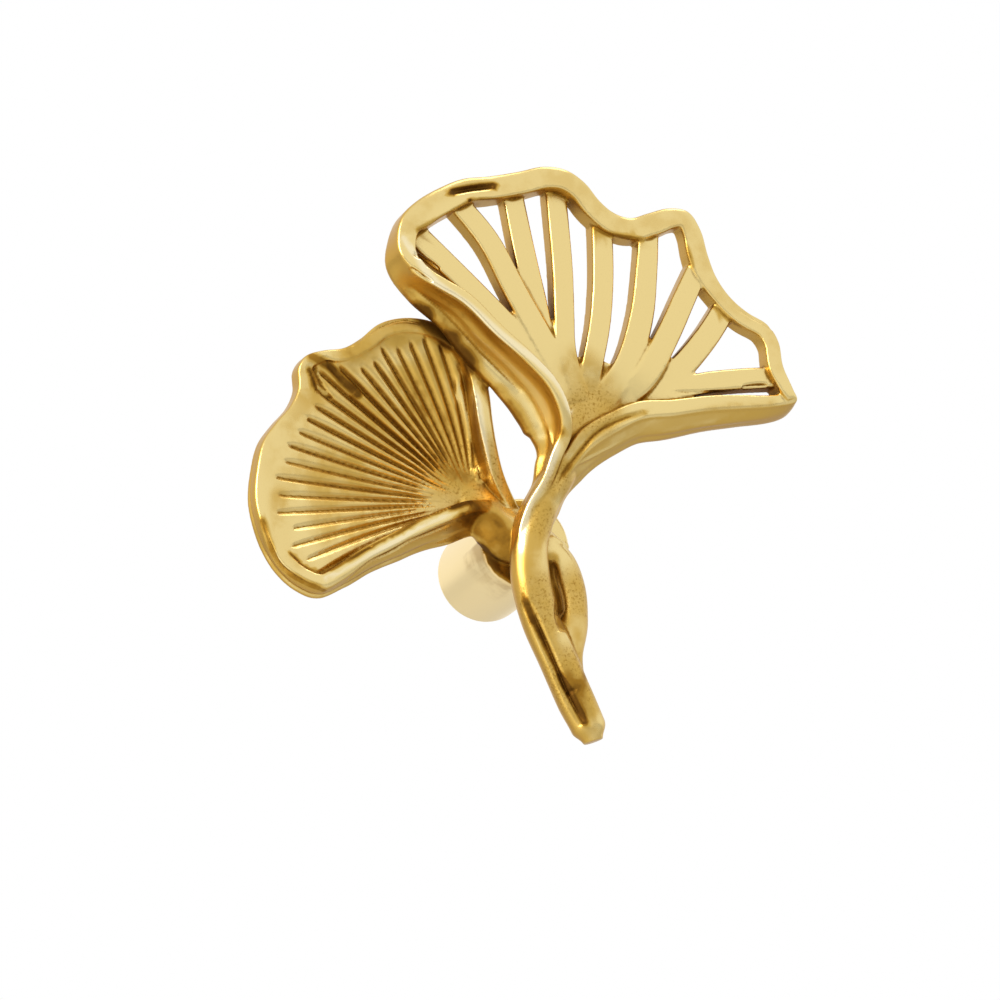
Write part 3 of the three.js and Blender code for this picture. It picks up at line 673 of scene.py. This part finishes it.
def near_line(tree, points, pixels, reach):
    """Points within reach of a line seen in the photograph, their distance to it and share along it."""
    shares = np.linspace(0, 1, LINE_SAMPLES * len(pixels))
    route = curve_at([(x, y, 0) for x, y in pixels], shares)[:, :2]
    found = [(where_seen(tree, pixel), share) for pixel, share in zip(route, shares)]
    found = [(np.array(place), share) for place, share in found if place is not None]
    places = np.array([place for place, _ in found])
    inside = ((points > places.min(0) - reach) & (points < places.max(0) + reach)).all(axis=1)
    chosen = np.flatnonzero(inside)
    nearest = np.full(len(chosen), np.inf)
    along = np.zeros(len(chosen))
    for place, share in found:
        distance = np.linalg.norm(points[chosen] - place, axis=1)
        closer = distance < nearest
        nearest[closer] = distance[closer]
        along[closer] = share
    return chosen, nearest, along


def score_lines(mesh, lines):
    """Sinks or raises the surface along lines seen in the photograph."""
    points = coordinates(mesh)
    tree = surface_tree(mesh)
    facing = vectors(mesh, "normal")
    moved = points.copy()
    for pixels, width, depth in lines:
        chosen, nearest, along = near_line(tree, points, pixels, LINE_REACH * width)
        sink = depth * np.sqrt(np.clip(np.sin(math.pi * along), 0, 1)) * np.exp(-((nearest / width) ** 2))
        moved[chosen] -= facing[chosen] * sink[:, None]
    set_coordinates(mesh, moved)


def tone_and_light_along(mesh, strokes):
    """How much darker (to 2) or paler (to -1) the metal is, from strokes seen in the photograph: darker for
    cast tone and painted shade, paler for painted highlights.
    """
    points = coordinates(mesh)
    tree = surface_tree(mesh)
    tone_and_light = np.zeros(len(points))
    for pixels, radius, amount in strokes:
        chosen, nearest, _ = near_line(tree, points, pixels, radius)
        tone_and_light[chosen] += amount * (1 - smoothstep(nearest, STROKE_CORE * radius, radius))
    return np.clip(tone_and_light, -1, 2)


def roughness_of(points, spots):
    """How rough the metal was left, from 0 to 1."""
    rough = np.zeros(len(points))
    for middle, radius in spots:
        distance = np.linalg.norm(points - middle, axis=1)
        rough = np.maximum(rough, 1 - smoothstep(distance, SPOT_CORE * radius, radius))
    return rough


def store(mesh, name, values):
    """Keeps one number per vertex for the material."""
    layer = mesh.attributes.new(name, "FLOAT", "POINT")
    layer.data.foreach_set("value", values.astype(np.float32))


class Nodes:
    """Short calls for the material's nodes. Values may be numbers, colours or other nodes' outputs."""

    def __init__(self, material):
        material.use_nodes = True
        self.tree = material.node_tree
        self.shader = self.tree.nodes["Principled BSDF"]

    def put(self, socket, value):
        if isinstance(value, bpy.types.NodeSocket):
            self.tree.links.new(value, socket)
        else:
            socket.default_value = value

    def add(self, kind, output, inputs, **settings):
        node = self.tree.nodes.new(kind)
        for key, value in settings.items():
            setattr(node, key, value)
        for key, value in inputs.items():
            self.put(node.inputs[key], value)
        return node.outputs[output]

    def math(self, operation, one, two=0.0):
        return self.add("ShaderNodeMath", 0, {0: one, 1: two}, operation=operation)

    def remap(self, value, low, high, to_low=0.0, to_high=1.0):
        inputs = {"Value": value, "From Min": low, "From Max": high, "To Min": to_low, "To Max": to_high}
        return self.add("ShaderNodeMapRange", "Result", inputs, interpolation_type="SMOOTHSTEP")

    def mix(self, share, one, two):
        return self.add("ShaderNodeMix", 2, {"Factor": share, 6: one, 7: two}, data_type="RGBA")

    def noise(self, scale, detail, roughness):
        place = self.add("ShaderNodeTexCoord", "Object", {})
        inputs = {"Vector": place, "Scale": scale / MM, "Detail": detail, "Roughness": roughness}
        return self.add("ShaderNodeTexNoise", "Fac", inputs)

    def attribute(self, name):
        return self.add("ShaderNodeAttribute", "Fac", {}, attribute_name=name)


def cast_brass():
    """Brass: polished on its front faces, left as cast on its walls with painted shade, grimy in recesses,
    with painted shade in sheltered corners and painted shade and highlights along strokes.
    """
    material = bpy.data.materials.new("cast_brass")
    net = Nodes(material)
    sunk = net.attribute("sunk")
    worn = net.attribute("worn")
    rough = net.attribute("rough")
    stroke = net.attribute("tone_and_light")
    on_post = net.attribute("post")
    grain = net.noise(GRAIN_SCALE, 4.0, 0.7)
    cloud = net.noise(CLOUD_SCALE, 3.0, 0.55)

    # How much the surface faces the front, between its smooth and its true normal
    smooth_normal = net.add("ShaderNodeNewGeometry", "Normal", {})
    face_normal = net.add("ShaderNodeNewGeometry", "True Normal", {})
    normal = net.add("ShaderNodeVectorMath", "Vector", {0: smooth_normal, 1: face_normal}, operation="ADD")
    facing = net.math("MULTIPLY", net.add("ShaderNodeSeparateXYZ", "Y", {"Vector": normal}), -0.5)

    # Strokes of cast tone, painted shade and painted highlights, with cloudy edges
    unevenness = net.math("MULTIPLY", net.remap(stroke, 0.0, 0.5), net.remap(cloud, 0.35, 0.65, -0.2, 0.2))
    tone_and_light = net.math("ADD", stroke, unevenness)
    # Painted highlights where the strokes go below 0
    painted_highlight = net.remap(tone_and_light, -1.0, 0.0, 1.0, 0.0)

    # Polish on front faces and worn edges, less where the cast surface is rough or darkened, full under the
    # painted highlights
    polish = net.remap(net.math("ADD", facing, net.remap(cloud, 0.3, 0.7, -0.1, 0.1)), *POLISH_FACING)
    smoothness = net.math("SUBTRACT", 1.0, net.math("MULTIPLY", rough, ROUGH_LOSS))
    polish = net.math("MULTIPLY", polish, smoothness)
    polish = net.math("MAXIMUM", polish, worn)
    polish = net.math("MULTIPLY", polish, net.remap(tone_and_light, 0.0, 1.0, 1.0, 0.0))
    polish = net.math("MAXIMUM", polish, painted_highlight)

    # Grime in recesses, painted shade in sheltered corners from ambient occlusion, and painted shade and cast
    # tone along the dark strokes
    painted_occlusion_shade = net.add("ShaderNodeAmbientOcclusion", "AO", {"Distance": OCCLUSION_SHADE_DISTANCE}, samples=6)
    grime_and_shade = net.math("MAXIMUM", sunk, net.remap(painted_occlusion_shade, 0.25, 0.75, 0.9, 0.0))
    grime_and_shade = net.math("MULTIPLY", grime_and_shade, net.remap(grain, 0.3, 0.6, 0.6, 0.85))
    speckle = net.math("MULTIPLY", rough, net.remap(grain, 0.42, 0.75))
    grime_and_shade = net.math("MAXIMUM", grime_and_shade, net.math("MULTIPLY", speckle, SPECKLE_AMOUNT))
    grime_and_shade = net.math("MAXIMUM", grime_and_shade, net.remap(tone_and_light, 0.8, 2.0, 0.0, 0.9))
    grime_and_shade = net.math("MULTIPLY", grime_and_shade, net.remap(tone_and_light, -1.0, 0.0, 0.3, 1.0))
    grime_and_shade = net.math("MULTIPLY", grime_and_shade, net.remap(on_post, 0.0, 1.0, 1.0, 0.3))

    # Colour
    # Walls facing sideways take a darker colour: their cast finish with painted shade
    metal = net.mix(net.remap(net.math("ABSOLUTE", facing), *WALL_FACING), WALL_CAST_AND_SHADE_COLOUR, CAST_COLOUR)
    metal = net.mix(polish, metal, POLISHED_COLOUR)
    # Painted highlights: the metal turns pale along the strokes below 0
    metal = net.mix(net.math("MULTIPLY", painted_highlight, PAINTED_HIGHLIGHT_AMOUNT), metal, PAINTED_HIGHLIGHT_COLOUR)
    metal = net.mix(on_post, metal, POST_COLOUR)
    # Darker colours for grime in recesses and for painted shade
    metal = net.mix(net.remap(grime_and_shade, 0.0, 0.5), metal, DEEP_COLOUR)
    metal = net.mix(net.remap(grime_and_shade, 0.5, 1.0), metal, RECESS_COLOUR)
    net.put(net.shader.inputs["Base Color"], metal)
    net.put(net.shader.inputs["Metallic"], 1.0)

    # Gloss and grain
    roughness = net.remap(polish, 0.0, 1.0, CAST_ROUGHNESS, POLISHED_ROUGHNESS)
    roughness = net.math("ADD", roughness, net.math("MULTIPLY", grime_and_shade, GRIME_ROUGHNESS))
    net.put(net.shader.inputs["Roughness"], roughness)
    height = net.math("MULTIPLY", grain, net.remap(rough, 0.0, 1.0, 0.12, 1.0))
    height = net.math("MULTIPLY", height, net.remap(on_post, 0.0, 1.0, 1.0, 0.03))
    relief = {"Strength": BUMP_STRENGTH, "Distance": BUMP_DISTANCE, "Height": height}
    net.put(net.shader.inputs["Normal"], net.add("ShaderNodeBump", "Normal", relief))
    return material


def softbox(name, azimuth, elevation, distance, size, watts):
    """A square area light that looks at the pull from a direction."""
    away = Vector(direction(azimuth, elevation))
    data = bpy.data.lights.new(name, "AREA")
    data.size = size
    data.energy = watts
    lamp = bpy.data.objects.new(name, data)
    lamp.location = away * distance + Vector(LIGHT_TARGET)
    lamp.rotation_mode = "QUATERNION"
    lamp.rotation_quaternion = away.to_track_quat("Z", "Y")
    bpy.context.scene.collection.objects.link(lamp)


# Build and fuse the casting
open_edge = leaf_edge(OPEN_EDGE, OPEN_EDGE_WIDTH, OPEN_EDGE_DEPTH, OPEN_EDGE_FLARE, OPEN_EDGE_HOLLOW,
                      OPEN_EDGE_LIP, NONE)
ribs = [rib(*given) for given in RIBS]
cup_edge = leaf_edge(CUP_EDGE, CUP_EDGE_WIDTH, CUP_EDGE_DEPTH, CUP_EDGE_FLARE, CUP_EDGE_HOLLOW,
                     CUP_EDGE_LIP, CUP_EDGE_TILT)
cup_rim = inset_rim(CUP_EDGE, CUP_INSET, CUP_RECESS)
cup_floor = fan_floor(CUP_BASE, cup_rim, CUP_BOW, CUP_START, CUP_WALL, FLUTES, FLUTE_DEPTH)
throat_rim = curve_at(THROAT_RIM, np.linspace(0, 1, THROAT_RIM_POINTS))
throat = fan_floor(THROAT_BASE, throat_rim, NONE, THROAT_START, THROAT_WALL, THROAT_SECTORS, NONE)
front_stem = stem(FRONT_STEM, FRONT_STEM_RADIUS, ROUND, FRONT_STEM_GROOVE)
back_stem = stem(BACK_STEM, BACK_STEM_RADIUS, BACK_STEM_FLAT, NONE)
parts = [post(), open_edge, *ribs, cup_edge, cup_floor, throat, front_stem, back_stem]
casting = mesh_object("casting", parts)
apply_modifier(casting, "REMESH", mode="VOXEL", voxel_size=VOXEL * MM, adaptivity=0)
set_coordinates(casting.data, smoothed(casting.data, coordinates(casting.data), SMOOTH_STEPS))
score_lines(casting.data, LINES)

# Recesses and worn edges, where smoothing moves the fine mesh most, and the other marks for the material
points = coordinates(casting.data)
fine = smoothed(casting.data, points, SINK_STEPS)
store(casting.data, "sunk", ((fine - points) * vectors(casting.data, "normal")).sum(axis=1))
triangles = sum(len(face.vertices) - 2 for face in casting.data.polygons)
apply_modifier(casting, "DECIMATE", ratio=MOST_TRIANGLES / triangles, use_collapse_triangulate=True)
points = coordinates(casting.data)
sunk = np.zeros(len(points))
casting.data.attributes["sunk"].data.foreach_get("value", sunk)
casting.data.attributes["sunk"].data.foreach_set("value", smoothstep(sunk, *SUNK_LIMITS))
store(casting.data, "worn", smoothstep(-sunk, *WORN_LIMITS))
# Strokes of cast tone, painted shade and painted highlights
store(casting.data, "tone_and_light", tone_and_light_along(casting.data, TONE_AND_LIGHT_STROKES))
store(casting.data, "rough", roughness_of(points, ROUGH_SPOTS))
from_axis = np.hypot(points[:, 0], points[:, 2])
on_post = (from_axis < POST_DIAMETER / 2 + POST_MARGIN) & (points[:, 1] > POST_FRONT_MARGIN - POST_LENGTH)
store(casting.data, "post", on_post)

sleeve = mesh_object("screw_thread", [thread_sleeve()])

brass = cast_brass()
for piece in (casting, sleeve):
    piece.data.polygons.foreach_set("use_smooth", [True] * len(piece.data.polygons))
    piece.data.materials.clear()
    piece.data.materials.append(brass)
    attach(piece, "root")
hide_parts("leaf_pull")

# Floor
bpy.ops.mesh.primitive_plane_add(size=FLOOR_SIZE, location=(0, 0, FLOOR_HEIGHT))
floor = bpy.context.object
floor.name = "floor"
floor_material = bpy.data.materials.new("pale_floor")
floor_material.use_nodes = True
floor_shader = floor_material.node_tree.nodes["Principled BSDF"]
floor_shader.inputs["Base Color"].default_value = FLOOR_COLOUR
floor_shader.inputs["Roughness"].default_value = FLOOR_ROUGHNESS
floor.data.materials.append(floor_material)

# Camera
away = Vector(direction(CAMERA_AZIMUTH, CAMERA_ELEVATION))
camera_data = bpy.data.cameras.new("camera")
camera_data.lens = LENS
camera_data.sensor_width = SENSOR
camera_data.clip_start = CLIP_START
camera = bpy.data.objects.new("camera", camera_data)
camera.location = (Vector(CAMERA_TARGET) + away * CAMERA_DISTANCE) * MM
camera.rotation_mode = "QUATERNION"
camera.rotation_quaternion = (-away).to_track_quat("-Z", "Y")
bpy.context.scene.collection.objects.link(camera)
bpy.context.scene.camera = camera

# Lights
softbox("key_light", azimuth=-72, elevation=14, distance=0.6, size=0.34, watts=2.8)
softbox("top_light", azimuth=40, elevation=68, distance=0.6, size=0.25, watts=0.5)

# World: white where it is seen, mirrored or seen through, and a little dimmer as light
world = bpy.data.worlds.new("studio")
bpy.context.scene.world = world
world.use_nodes = True
nodes = world.node_tree.nodes
links = world.node_tree.links
nodes.clear()
output = nodes.new("ShaderNodeOutputWorld")
ambient = nodes.new("ShaderNodeBackground")
ambient.inputs["Color"].default_value = WHITE
ambient.inputs["Strength"].default_value = AMBIENT_STRENGTH
backdrop = nodes.new("ShaderNodeBackground")
backdrop.inputs["Color"].default_value = WHITE
backdrop.inputs["Strength"].default_value = 1.0
path = nodes.new("ShaderNodeLightPath")
seen = nodes.new("ShaderNodeMath")
seen.operation = "ADD"
seen.use_clamp = True
seen_through = nodes.new("ShaderNodeMath")
seen_through.operation = "ADD"
seen_through.use_clamp = True
mix = nodes.new("ShaderNodeMixShader")
links.new(path.outputs["Is Camera Ray"], seen.inputs[0])
links.new(path.outputs["Is Glossy Ray"], seen.inputs[1])
links.new(seen.outputs[0], seen_through.inputs[0])
links.new(path.outputs["Is Transmission Ray"], seen_through.inputs[1])
links.new(seen_through.outputs[0], mix.inputs["Fac"])
links.new(ambient.outputs[0], mix.inputs[1])
links.new(backdrop.outputs[0], mix.inputs[2])
links.new(mix.outputs[0], output.inputs["Surface"])

bpy.context.scene.view_settings.view_transform = "Standard"
